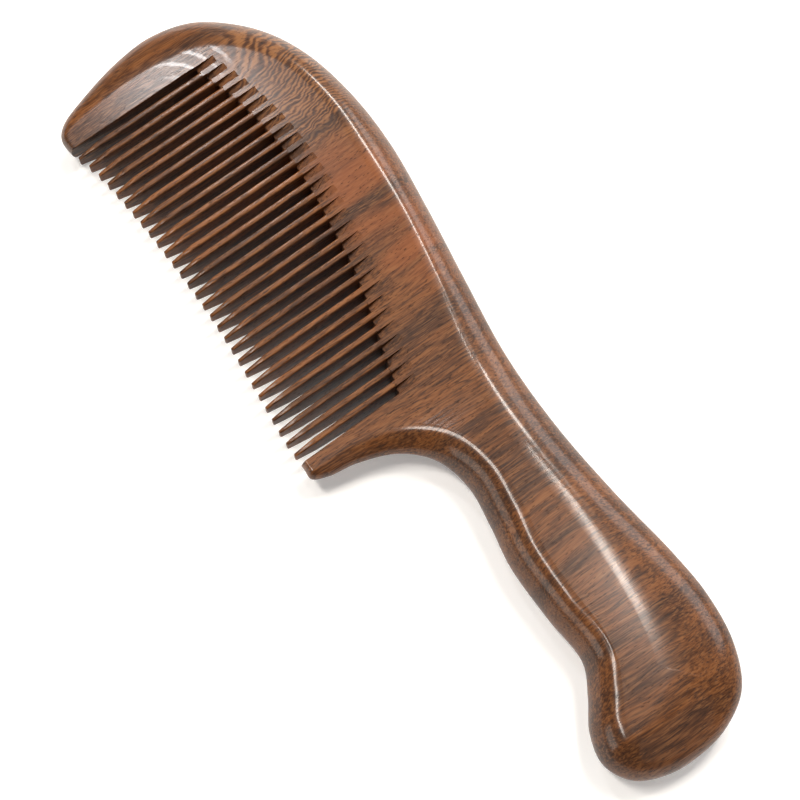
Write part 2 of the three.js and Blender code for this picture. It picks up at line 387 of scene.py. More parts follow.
@dataclass(frozen=True)
class SmoothLine:
    """A flowing line through marks, the way a thin batten bends round nails.

    Attributes:
        points: The marks it runs through.
        closed: Whether it comes back to its first mark.
    """

    points: Sequence[Vector]
    closed: bool

    def at(self, place: float) -> Vector:
        """Returns the point at a place counted in marks, so 2.5 is midway between marks 2 and 3.

        Args:
            place: Where along the line.
        """
        count = len(self.points)
        start = math.floor(place)
        if not self.closed:
            start = min(start, count - 2)
        along = place - start
        before, first, second, after = (self._mark(start + step) for step in (-1, 0, 1, 2))
        gaps = [
            max((b - a).length_squared ** 0.25, 1e-4)
            for a, b in ((before, first), (first, second), (second, after))
        ]
        lead = (first - before) / gaps[0] - (second - before) / (gaps[0] + gaps[1])
        lead = (lead + (second - first) / gaps[1]) * gaps[1]
        trail = (second - first) / gaps[1] - (after - first) / (gaps[1] + gaps[2])
        trail = (trail + (after - second) / gaps[2]) * gaps[1]
        square = 3 * (second - first) - 2 * lead - trail
        cube = 2 * (first - second) + lead + trail
        return first + lead * along + square * along**2 + cube * along**3

    def _mark(self, index: int) -> Vector:
        """Returns a mark, carried on straight past the ends of an open line.

        Args:
            index: Number of the mark, which may lie past either end.
        """
        count = len(self.points)
        if self.closed:
            return self.points[index % count]
        if index < 0:
            return 2 * self.points[0] - self.points[1]
        if index >= count:
            return 2 * self.points[-1] - self.points[-2]
        return self.points[index]


@dataclass(frozen=True)
class Pattern:
    """The maker's pattern: the outline of the board, its worked edge and the tooth roots."""

    measures: Measures = field(default_factory=Measures)

    def on_field(self, share: float) -> float:
        """X at a share of the tooth field."""
        return share * self.measures.field

    def on_nose(self, share: float) -> float:
        """X at a share of the nose guard, counted from its slot."""
        return -share * self.measures.nose

    def on_guard(self, share: float) -> float:
        """X at a share of the rear guard."""
        return self.measures.field + share * self.measures.guard

    def on_handle(self, share: float) -> float:
        """X at a share of the handle."""
        return self.measures.field + self.measures.guard + share * self.measures.handle

    def spine(self) -> list[Mark]:
        """Returns the marks over the back of the comb, from the nose to the butt."""
        nose, tooth_field, handle = self.on_nose, self.on_field, self.on_handle
        return [
            Mark(nose(1), 0.5, 7.6),
            Mark(nose(0.85), 9.8, 7.6),
            Mark(nose(0.47), 16.9, 7),
            Mark(nose(-0.03), 22.4, 6.5),
            Mark(tooth_field(0.119), 26.2, 5.9),
            Mark(tooth_field(0.277), 28.1, 6.1),
            Mark(tooth_field(0.437), 27.8, 6.8),
            Mark(tooth_field(0.627), 25.3, 6.2),
            Mark(tooth_field(0.837), 21.9, 6.6),
            Mark(handle(0), 18.6, 7.9),
            Mark(handle(0.21), 17.6, 8.4),
            Mark(handle(0.42), 18.4, 8.9),
            Mark(handle(0.609), 20, 11),
            Mark(handle(0.729), 20.2, 12.4),
            Mark(handle(0.849), 18.3, 13),
            Mark(handle(0.942), 13.8, 12.6),
            Mark(handle(0.987), 6.9, 11),
        ]

    def underside(self) -> list[Mark]:
        """Returns the marks from the butt back under the handle and past the tips to the nose."""
        nose, tooth_field = self.on_nose, self.on_field
        guard, handle = self.on_guard, self.on_handle
        tips = self.measures.tip_line
        return [
            Mark(handle(1), 0, 9.8),
            Mark(handle(0.992), -7.3, 8),
            Mark(handle(0.957), -13.3, 6.4),
            Mark(handle(0.893), -16, 5.4),
            Mark(handle(0.822), -14.5, 4.9),
            Mark(handle(0.755), -10.5, 4.6),
            Mark(handle(0.687), -7.3, 4.5),
            Mark(handle(0.562), -7.5, 4.5),
            Mark(handle(0.42), -7.2, 5),
            Mark(handle(0.315), -5.4, 5.2),
            Mark(handle(0.209), -4.1, 4.9),
            Mark(handle(0.115), -5.9, 4.6),
            Mark(handle(0.05), -11.1, 3.8),
            Mark(handle(0.012), -19.1, 2.7),
            Mark(guard(1), -25, 1.8),
            Mark(guard(0.67), tips, 1.1),
            Mark(guard(0.16), tips, 0.8),
            Mark(tooth_field(0.937), -28.2, 1.4),
            Mark(tooth_field(0.807), -27, 1.4),
            Mark(tooth_field(0.607), -25.4, 1.4),
            Mark(tooth_field(0.407), -25, 1.4),
            Mark(tooth_field(0.207), -25.5, 1.4),
            Mark(tooth_field(0.078), -26.6, 1.4),
            Mark(nose(0), tips, 0.8),
            Mark(nose(0.29), tips, 1.2),
            Mark(nose(0.48), -26, 2.2),
            Mark(nose(0.7), -19, 3.8),
            Mark(nose(0.92), -8.8, 6),
        ]

    def rim(self) -> SmoothLine:
        """Returns the closed outline, with the width of the edge as its third coordinate."""
        marks = [*self.spine(), *self.underside()]
        return SmoothLine([Vector((m.x, m.y, m.edge)) for m in marks], closed=True)

    def tip_at(self, x: float) -> float:
        """Returns Y of the rim below the teeth.

        Args:
            x: Place along the tooth field.
        """
        marks = [Vector((m.x, m.y, m.edge)) for m in self.underside()]
        return self._height_on(SmoothLine(marks, closed=False), x, falling=True)

    def root_at(self, x: float) -> float:
        """Returns Y of the line on which the slots end.

        Args:
            x: Place along the tooth field.
        """
        shares = (0, 0.11, 0.21, 0.32, 0.43, 0.56, 0.71, 0.86, 1)
        heights = (3.4, 6, 7.3, 7.8, 7.3, 5.7, 3.3, -0.7, -4.4)
        marks = [Vector((self.on_field(s), y, 0)) for s, y in zip(shares, heights)]
        return self._height_on(SmoothLine(marks, closed=False), x, falling=False)

    def shoulder_at(self, k: int) -> float:
        """Returns Y of the root of tooth k, level with the shorter slot beside it."""
        before, after = (self.root_at(self.measures.slot_middle(i)) for i in (k, k + 1))
        return min(before, after)

    def _height_on(self, line: SmoothLine, x: float, falling: bool) -> float:
        """Returns Y of an open line where it passes a given X.

        Args:
            line: The line to read.
            x: Place along the comb.
            falling: Whether X falls along the line.
        """
        steps = 12
        places = [i / steps for i in range((len(line.points) - 1) * steps + 1)]
        points = [line.at(place) for place in places]
        clear_of_handle = self.measures.tip_line + 10
        for a, b in zip(points, points[1:]):
            if falling and b.y > clear_of_handle:
                continue
            if (falling and b.x <= x) or (not falling and b.x >= x):
                share = (x - a.x) / (b.x - a.x)
                return a.y + (b.y - a.y) * share
        return points[-1].y


# ------------------------------------------------------------------------------ board


@dataclass
class Board:
    """The shaped board that the head, the handle and the teeth are all cut from.

    Attributes:
        pattern: The maker's pattern.
        bench: Where the pattern lies in the frame.
        steps: Straight pieces between two marks of the outline.
        feel: How far to each side the direction of the outline is felt, in marks.
        rim_turn: How far round the rim its own rings go, in degrees.
        round_rings: Rings over the rounded rim.
        ridge_rings: Rings over the ridge and just inside it.
        inside: How far the rings go on inside the ridge, as a share of the edge.
        relaxing: How often the innermost ring is evened out.
    """

    pattern: Pattern
    bench: Bench
    steps: int = 18
    feel: float = 0.02
    rim_turn: float = 68
    round_rings: int = 11
    ridge_rings: int = 18
    inside: float = 0.28
    relaxing: int = 60

    def shares(self) -> list[float]:
        """Returns the places of the rings across the worked edge, from the rim inwards."""
        last = math.radians(self.rim_turn)
        rounded = [math.cos(last * i / self.round_rings) for i in range(self.round_rings)]
        start = math.cos(last)
        span = start + self.inside
        inner = [start - span * i / self.ridge_rings for i in range(self.ridge_rings + 1)]
        return rounded + inner

    def rings(self) -> list[list[Vector]]:
        """Returns the rings of the front half of the board, from the rim inwards."""
        measures = self.pattern.measures
        rim = self.pattern.rim()
        count = len(rim.points) * self.steps
        shares = self.shares()
        rings: list[list[Vector]] = [[] for _ in shares]
        heights = []
        for i in range(count):
            place = i / self.steps
            at = rim.at(place)
            ahead = rim.at(place + self.feel) - rim.at(place - self.feel)
            inward = Vector((ahead.y, -ahead.x, 0)).normalized()
            outline = Vector((at.x, at.y, 0))
            ridge = outline + inward * at.z
            height = measures.face_height(ridge.x, ridge.y)
            heights.append(height)
            for ring, share in zip(rings, shares):
                ring.append(ridge.lerp(outline, share))
        for ring, share in zip(rings, shares):
            self._relax(ring, round(self.relaxing * max(0, -share) / self.inside))
            for point, height in zip(ring, heights):
                face = measures.face_height(point.x, point.y)
                edge = height * (1 - measures.edge_drop(share))
                point.z = self._eased(face, edge, measures.ridge_ease * height)
        return rings

    @staticmethod
    def _relax(ring: list[Vector], rounds: int) -> None:
        """Evens out a ring, so that it has no loops where the ridge turns sharply.

        Args:
            ring: The points of the ring, which are moved.
            rounds: How many times each point moves towards its neighbours.
        """
        for _ in range(rounds):
            before = [point.copy() for point in ring]
            for i, point in enumerate(ring):
                following = before[(i + 1) % len(ring)]
                point.xy = (before[i - 1].xy + 2 * before[i].xy + following.xy) / 4

    @staticmethod
    def _eased(face: float, edge: float, ease: float) -> float:
        """Returns the lower of two heights, with the corner between them rubbed round.

        Args:
            face: Height of the face.
            edge: Height of the worked edge.
            ease: How far apart the two may be and still be blended.
        """
        blend = max(ease - abs(face - edge), 0) / ease
        return min(face, edge) - blend * blend * ease / 4

    def build(self, name: str) -> bpy.types.Object:
        """Makes the whole board as one closed, smooth mesh.

        Args:
            name: Name of the new object.

        Returns:
            The board, with its place in its mesh.
        """
        rings = self.rings()
        count = len(rings[0])
        low, high = self.bench.low, self.bench.high
        points = [self.bench.place(*p[:]) for p in rings[0]]
        for side in Face:
            for ring in rings[1:]:
                points += [self.bench.place(p.x, p.y, p.z * side.value) for p in ring]
        faces: list[tuple[int, ...]] = []
        for half, side in enumerate(Face):
            first = count * (1 + half * (len(rings) - 1))
            rows = [0, *(first + count * i for i in range(len(rings) - 1))]
            for outer, inner in zip(rows, rows[1:]):
                for i in range(count):
                    j = (i + 1) % count
                    quad = (outer + i, inner + i, inner + j, outer + j)
                    faces.append(quad if side is Face.BACK else quad[::-1])
            for loop in self._panels(rings[-1]):
                panel = tuple(rows[-1] + i for i in loop)
                faces.append(panel if side is Face.FRONT else panel[::-1])
        for point in points:
            point.x = min(max(point.x, low.x), high.x)
            point.y = min(max(point.y, low.y), high.y)
        mesh = bpy.data.meshes.new(name)
        mesh.from_pydata([p[:] for p in points], [], faces)
        board = bpy.data.objects.new(name, mesh)
        bpy.context.collection.objects.link(board)
        pick(board)
        bpy.ops.object.mode_set(mode="EDIT")
        bpy.ops.mesh.select_all(action="SELECT")
        bpy.ops.mesh.normals_make_consistent(inside=False)
        bpy.ops.object.mode_set(mode="OBJECT")
        return board

    def _panels(self, ring: list[Vector]) -> list[list[int]]:
        """Fills the face inside the innermost ring.

        The face of the head is flat, so it is one panel. From the neck on it is a ladder of narrow
        panels between the spine side and the underside.

        Args:
            ring: The innermost ring.

        Returns:
            Loops of indices into the ring.
        """
        count = len(ring)
        turn = len(self.pattern.spine()) * self.steps
        upper = list(range(turn + 1))
        lower = [(count - i) % count for i in range(count - turn + 1)]
        neck = self.pattern.measures.field + self.pattern.measures.neck_start
        u = next(i for i, index in enumerate(upper) if ring[index].x > neck) - 1
        low = next(i for i, index in enumerate(lower) if ring[index].x > neck) - 1
        panels = [upper[: u + 1][::-1] + lower[1 : low + 1]]
        while u < len(upper) - 1 or low < len(lower) - 1:
            next_u = ring[upper[u + 1]].x if u < len(upper) - 1 else math.inf
            next_low = ring[lower[low + 1]].x if low < len(lower) - 1 else math.inf
            if next_u <= next_low:
                panels.append([upper[u + 1], upper[u], lower[low]])
                u += 1
            else:
                panels.append([upper[u], lower[low], lower[low + 1]])
                low += 1
        return [panel for panel in panels if len(set(panel)) == len(panel)]


@dataclass
class Head:
    """The head: the board up to the neck, with the gaps for the teeth sawn out of it.

    Attributes:
        board: The board it is cut from.
        clear: How far a saw cut runs past the wood.
        bite: How far a run-out cutter reaches back into its slot.
        arris: Width taken off the sharp edges of the slots.
        arris_end: Where along the run-out the arris is left sharp, as a share of its length.
        sharp: Least turn of an edge that counts as an arris, in degrees.
        core: Edges nearer to the middle of the board than this are left alone.
    """

    board: Board
    clear: float = 10
    bite: float = 1
    arris: float = 0.14
    arris_end: float = 0.72
    sharp: float = 60
    core: float = 0.8

    def build(self) -> bpy.types.Object:
        """Makes the head.

        Returns:
            The finished shape of the head.
        """
        pattern, bench = self.board.pattern, self.board.bench
        head = self.board.build("head_carved")
        joint = pattern.measures.field + pattern.measures.joint
        trim(head, bench.place(joint, 0, 0), Vector((1, 0, 0)))
        cut_away(head, self._field_cutter())
        cutters = [
            self._ramp_cutter(k, side)
            for k in range(pattern.measures.teeth + 1)
            for side in Face
        ]
        cut_away(head, joined(cutters, "ramp_cutters"))
        self._soften(head)
        smooth(head, CARVED_CREASE)
        return head

    def _field_cutter(self) -> bpy.types.Object:
        """Returns the stepped block that opens the gap between the guards."""
        pattern, measures = self.board.pattern, self.board.pattern.measures
        past_tips = measures.tip_line - self.clear
        steps = [(0.0, past_tips)]
        for k in range(measures.teeth + 1):
            middle = measures.slot_middle(k)
            end = pattern.root_at(middle)
            steps.append((middle - measures.slot / 2, end))
            steps.append((middle + measures.slot / 2, end))
            if k < measures.teeth:
                tooth, shoulder = measures.tooth_middle(k), pattern.shoulder_at(k)
                steps.append((tooth - measures.tooth_width / 2, shoulder))
                steps.append((tooth + measures.tooth_width / 2, shoulder))
        steps.append((measures.field, past_tips))
        kept, shortest = [steps[0]], 1e-4
        for point in steps[1:]:
            if math.dist(point, kept[-1]) > shortest:
                kept.append(point)
        reach = measures.thickness
        return sawn_block(kept, -reach, 2 * reach, self.board.bench, "field_cutter")

    def _ramp_cutter(self, k: int, side: Face) -> bpy.types.Object:
        """Returns the wedge that runs a slot out into one face of the head.

        Args:
            k: Number of the slot.
            side: The face it runs out in.
        """
        pattern, measures = self.board.pattern, self.board.pattern.measures
        x, bench = measures.slot_middle(k), self.board.bench
        root = pattern.root_at(x)
        end = root + measures.ramp
        floor = measures.face_height(x, root) - measures.ramp_depth
        rise = (measures.face_height(x, end) - floor) / measures.ramp
        start, top = root - self.bite, measures.thickness
        bpy.ops.mesh.primitive_cube_add(
            size=1,
            location=bench.place(x, (start + end) / 2, side.value * top / 2),
            scale=(measures.slot * MM, (end - start) * MM, top * MM),
        )
        cutter = bpy.context.object
        settle(cutter)
        low_start = bench.place(x, start, side.value * (floor - self.bite * rise))
        low_end = bench.place(x, end, side.value * (floor + measures.ramp * rise))
        for vertex in cutter.data.vertices:
            if abs(vertex.co.z - bench.middle_z * MM) < MM * top / 2:
                near_root = vertex.co.y < (low_start.y + low_end.y) / 2
                vertex.co.z = low_start.z if near_root else low_end.z
        return cutter

    def _soften(self, head: bpy.types.Object) -> None:
        """Takes the sharp arris off the long sides of the slots.

        Args:
            head: The head after sawing.
        """
        pattern, measures = self.board.pattern, self.board.pattern.measures
        bench = self.board.bench
        walls = [0.0, measures.field]
        for k in range(measures.teeth):
            middle = measures.tooth_middle(k)
            walls += [middle - measures.tooth_width / 2, middle + measures.tooth_width / 2]
        places = [bench.place(x, 0, 0).x for x in walls]
        close, same_x = 1e-5, 1e-6

        def on_arris(edge: bmesh.types.BMEdge) -> bool:
            """Returns whether an edge is a sharp long side of a slot.

            Args:
                edge: The edge to judge.
            """
            if len(edge.link_faces) != 2:
                return False
            a, b = (vertex.co for vertex in edge.verts)
            if abs(a.x - b.x) > same_x or abs(a.z - bench.middle_z * MM) < MM * self.core:
                return False
            near = min(abs(a.x - place) for place in places)
            if near > close or edge.calc_face_angle(0) < math.radians(self.sharp):
                return False
            x = a.x / MM - bench.origin_x
            top = max(a.y, b.y) / MM - bench.origin_y
            x = min(max(x, 0), measures.field)
            return top < pattern.root_at(x) + measures.ramp * self.arris_end

        pick(head)
        bpy.ops.object.mode_set(mode="EDIT")
        choose(head, "EDGE", on_arris)
        bpy.ops.mesh.bevel(offset=self.arris * MM, segments=2, clamp_overlap=False)
        bpy.ops.object.mode_set(mode="OBJECT")


@dataclass
class Handle:
    """The handle: the board from the neck to the butt.

    Attributes:
        board: The board it is cut from.
    """

    board: Board

    def build(self) -> bpy.types.Object:
        """Makes the handle.

        Returns:
            The finished shape of the handle.
        """
        measures, bench = self.board.pattern.measures, self.board.bench
        handle = self.board.build("handle_carved")
        joint = measures.field + measures.joint
        trim(handle, bench.place(joint, 0, 0), Vector((-1, 0, 0)))
        smooth(handle, CARVED_CREASE)
        return handle


@dataclass
class Tooth:
    """One straight tooth, modelled once and fitted to each place in the head.

    Attributes:
        board: The board the tooth belongs to, which gives its thickness.
        rounding: Radius of the long edges of a finished tooth.
        tip_rounding: Radius of the edges of the blunt end.
        fixed: Stretch below the root that is never stretched to fit a place.
        tip_cut: From the blunt end to the cut nearest to it.
        sharp: Least turn of an edge that is rounded, in degrees.
    """

    board: Board
    rounding: float = 0.3
    tip_rounding: float = 0.2
    fixed: float = 2.4
    tip_cut: float = 1.2
    sharp: float = 45

    def model(self) -> bpy.types.Object:
        """Shapes the master tooth at the middle of the field.

        Returns:
            The master tooth.
        """
        pattern, measures, bench = self._tools()
        middle = measures.teeth // 2
        x = measures.tooth_middle(middle)
        root, tip = pattern.shoulder_at(middle), pattern.tip_at(x)
        bpy.ops.mesh.primitive_cube_add(
            size=1,
            location=bench.place(x, (root + tip) / 2, 0),
            scale=(measures.tooth_width * MM, (root - tip) * MM, measures.thickness * MM),
        )
        tooth = bpy.context.object
        tooth.name = "tooth_master"
        settle(tooth)
        pick(tooth)
        bpy.ops.object.mode_set(mode="EDIT")
        narrowing = (tip + measures.taper, tip + measures.taper / 2, tip + self.tip_cut)
        for y in (root - self.fixed, *narrowing):
            bpy.ops.mesh.select_all(action="SELECT")
            bpy.ops.mesh.bisect(plane_co=bench.place(x, y, 0), plane_no=(0, 1, 0))
        mesh = bmesh.from_edit_mesh(tooth.data)
        for vertex in mesh.verts:
            y = vertex.co.y / MM - bench.origin_y
            side = 1 if vertex.co.z > bench.middle_z * MM else -1
            across = 1 if vertex.co.x > (x + bench.origin_x) * MM else -1
            share = min(max((y - tip) / measures.taper, 0), 1)
            full, end = measures.tooth_width / 2, measures.tip_width / 2
            half = end + (full - end) * share
            height = measures.tooth_height(x, y, tip)
            vertex.co = bench.place(x + across * half, y, side * height)
        bmesh.update_edit_mesh(tooth.data)
        self._round_edges(tooth, tip)
        bpy.ops.object.mode_set(mode="OBJECT")
        return tooth

    def fit(self, master: bpy.types.Object, k: int) -> bpy.types.Object:
        """Copies the master tooth and fits it to its place.

        Args:
            master: The master tooth.
            k: Number of the place, counted from the nose.

        Returns:
            The fitted tooth, with its own mesh.
        """
        pattern, measures, bench = self._tools()
        middle = measures.teeth // 2
        master_x, x = measures.tooth_middle(middle), measures.tooth_middle(k)
        master_root, root = pattern.shoulder_at(middle), pattern.shoulder_at(k)
        master_tip, tip = pattern.tip_at(master_x), pattern.tip_at(x)
        tooth = master.copy()
        tooth.data = master.data.copy()
        tooth.name = f"tooth_{k + 1:02d}_cut"
        bpy.context.collection.objects.link(tooth)
        bend_from, bend_to = master_tip + measures.taper, master_root - self.fixed
        stretch = (root - self.fixed - tip - measures.taper) / (bend_to - bend_from)
        for vertex in tooth.data.vertices:
            y = vertex.co.y / MM - bench.origin_y
            z = vertex.co.z / MM - bench.middle_z
            if y < bend_from:
                new_y = y - master_tip + tip
            elif y > bend_to:
                new_y = y - master_root + root
            else:
                new_y = tip + measures.taper + (y - bend_from) * stretch
            old_height = measures.tooth_height(master_x, y, master_tip)
            ratio = measures.tooth_height(x, new_y, tip) / old_height
            across = vertex.co.x / MM - bench.origin_x - master_x
            vertex.co = bench.place(x + across, new_y, z * ratio)
            vertex.co.y = max(vertex.co.y, bench.low.y)
        smooth(tooth, TOOTH_CREASE)
        return tooth

    def _round_edges(self, tooth: bpy.types.Object, tip: float) -> None:
        """Rounds the long edges and the blunt end of the master tooth.

        Args:
            tooth: The master tooth in edit mode.
            tip: Y of its blunt end.
        """
        bench = self.board.bench
        level, shortest = 1e-6, 1e-4
        low = (tip + bench.origin_y) * MM + level

        def is_long(edge: bmesh.types.BMEdge) -> bool:
            """Returns whether an edge is a sharp one that runs along the tooth.

            Args:
                edge: The edge to judge.
            """
            a, b = (vertex.co for vertex in edge.verts)
            turned = edge.calc_face_angle(0) > math.radians(self.sharp)
            return turned and abs(a.y - b.y) > shortest

        def at_tip(edge: bmesh.types.BMEdge) -> bool:
            """Returns whether an edge lies on the blunt end."""
            return all(vertex.co.y < low for vertex in edge.verts)

        choose(tooth, "EDGE", is_long)
        bpy.ops.mesh.bevel(offset=self.rounding * MM, segments=3, clamp_overlap=False)
        choose(tooth, "EDGE", at_tip)
        bpy.ops.mesh.bevel(offset=self.tip_rounding * MM, segments=3, clamp_overlap=False)
        bpy.ops.mesh.select_all(action="SELECT")
        bpy.ops.mesh.normals_make_consistent(inside=False)

    def _tools(self) -> tuple[Pattern, Measures, Bench]:
        """Returns the pattern, its measures and the bench."""
        return self.board.pattern, self.board.pattern.measures, self.board.bench


# ------------------------------------------------------------------------------ finishes

Value = Union["Wire", float]
Triple = tuple[float, float, float]

# Sockets of a Mix node that are set to mix colours, by their number.
MIX_FACTOR, MIX_FIRST, MIX_SECOND, MIX_COLOUR = 0, 6, 7, 2


class Wire:
    """A socket of a material's node tree that can be used in sums.

    Attributes:
        tree: The node tree.
        socket: The output socket this wire comes from.
    """

    def __init__(self, tree: bpy.types.NodeTree, socket: bpy.types.NodeSocket) -> None:
        """Holds an output socket of a tree."""
        self.tree = tree
        self.socket = socket

    def math(self, operation: str, *others: Value) -> "Wire":
        """Adds a Math node that starts with this wire.

        Args:
            operation: The operation of the node.
            others: Its other inputs.

        Returns:
            The result.
        """
        return node(self.tree, "ShaderNodeMath", {"operation": operation}, [self, *others])

    def __add__(self, other: Value) -> "Wire":
        """Adds."""
        return self.math("ADD", other)

    def __radd__(self, other: Value) -> "Wire":
        """Adds, from the right."""
        return self.math("ADD", other)

    def __sub__(self, other: Value) -> "Wire":
        """Takes away."""
        return self.math("SUBTRACT", other)

    def __rsub__(self, other: float) -> "Wire":
        """Takes this wire away from a number."""
        return node(self.tree, "ShaderNodeMath", {"operation": "SUBTRACT"}, [other, self])

    def __mul__(self, other: Value) -> "Wire":
        """Multiplies."""
        return self.math("MULTIPLY", other)

    def __rmul__(self, other: Value) -> "Wire":
        """Multiplies, from the right."""
        return self.math("MULTIPLY", other)

    def between(self, low: float, high: float) -> "Wire":
        """Returns 0 below low, 1 above high and a smooth rise from one to the other."""
        return node(
            self.tree,
            "ShaderNodeMapRange",
            {"interpolation_type": "SMOOTHSTEP"},
            [self, low, high, 0.0, 1.0],
        )


def node(
    tree: bpy.types.NodeTree,
    kind: str,
    settings: dict[str, Any],
    inputs: Union[Sequence[Any], dict[str, Any]],
    output: Union[int, str] = 0,
) -> Wire:
    """Adds any node to a tree.

    Args:
        tree: The node tree.
        kind: Type of the node.
        settings: Its settings, which are set first.
        inputs: Values or wires for its sockets, in order or by name.
        output: Which of its outputs is wanted.

    Returns:
        The wanted output.
    """
    made = tree.nodes.new(kind)
    for name, value in settings.items():
        setattr(made, name, value)
    pairs = inputs.items() if isinstance(inputs, dict) else enumerate(inputs)
    for key, value in pairs:
        socket = made.inputs[key]
        if isinstance(value, Wire):
            tree.links.new(value.socket, socket)
        else:
            socket.default_value = value
    return Wire(tree, made.outputs[output])


def blend(factor: Value, first: Any, second: Any) -> "Wire":
    """Mixes two colours.

    Args:
        factor: How much of the second colour there is.
        first: The first colour, a wire or red, green and blue.
        second: The second colour, a wire or red, green and blue.

    Returns:
        The mixed colour.
    """
    tree = next(item.tree for item in (factor, first, second) if isinstance(item, Wire))
    colours = [item if isinstance(item, Wire) else (*item, 1) for item in (first, second)]
    return node(
        tree,
        "ShaderNodeMix",
        {"data_type": "RGBA"},
        {MIX_FACTOR: factor, MIX_FIRST: colours[0], MIX_SECOND: colours[1]},
        MIX_COLOUR,
    )


@dataclass(frozen=True)
class Patch:
    """A soft-edged region of the comb in which the wood has a character of its own.

    Attributes:
        x: Middle of the region along the comb.
        y: Middle of the region across the comb.
        reach_x: Half its length.
        reach_y: Half its width.
    """

    x: float
    y: float
    reach_x: float
    reach_y: float


@dataclass(frozen=True)
class Grain:
    """Noise that follows the wood.

    Attributes:
        scale: Repeats for each millimetre along X, Y and Z. The grain runs along Y.
        detail: How much fine detail it has.
        push: The most that it pushes a pattern along each axis, in millimetres.
    """

    scale: Triple
    detail: float
    push: Triple = (0.0, 0.0, 0.0)


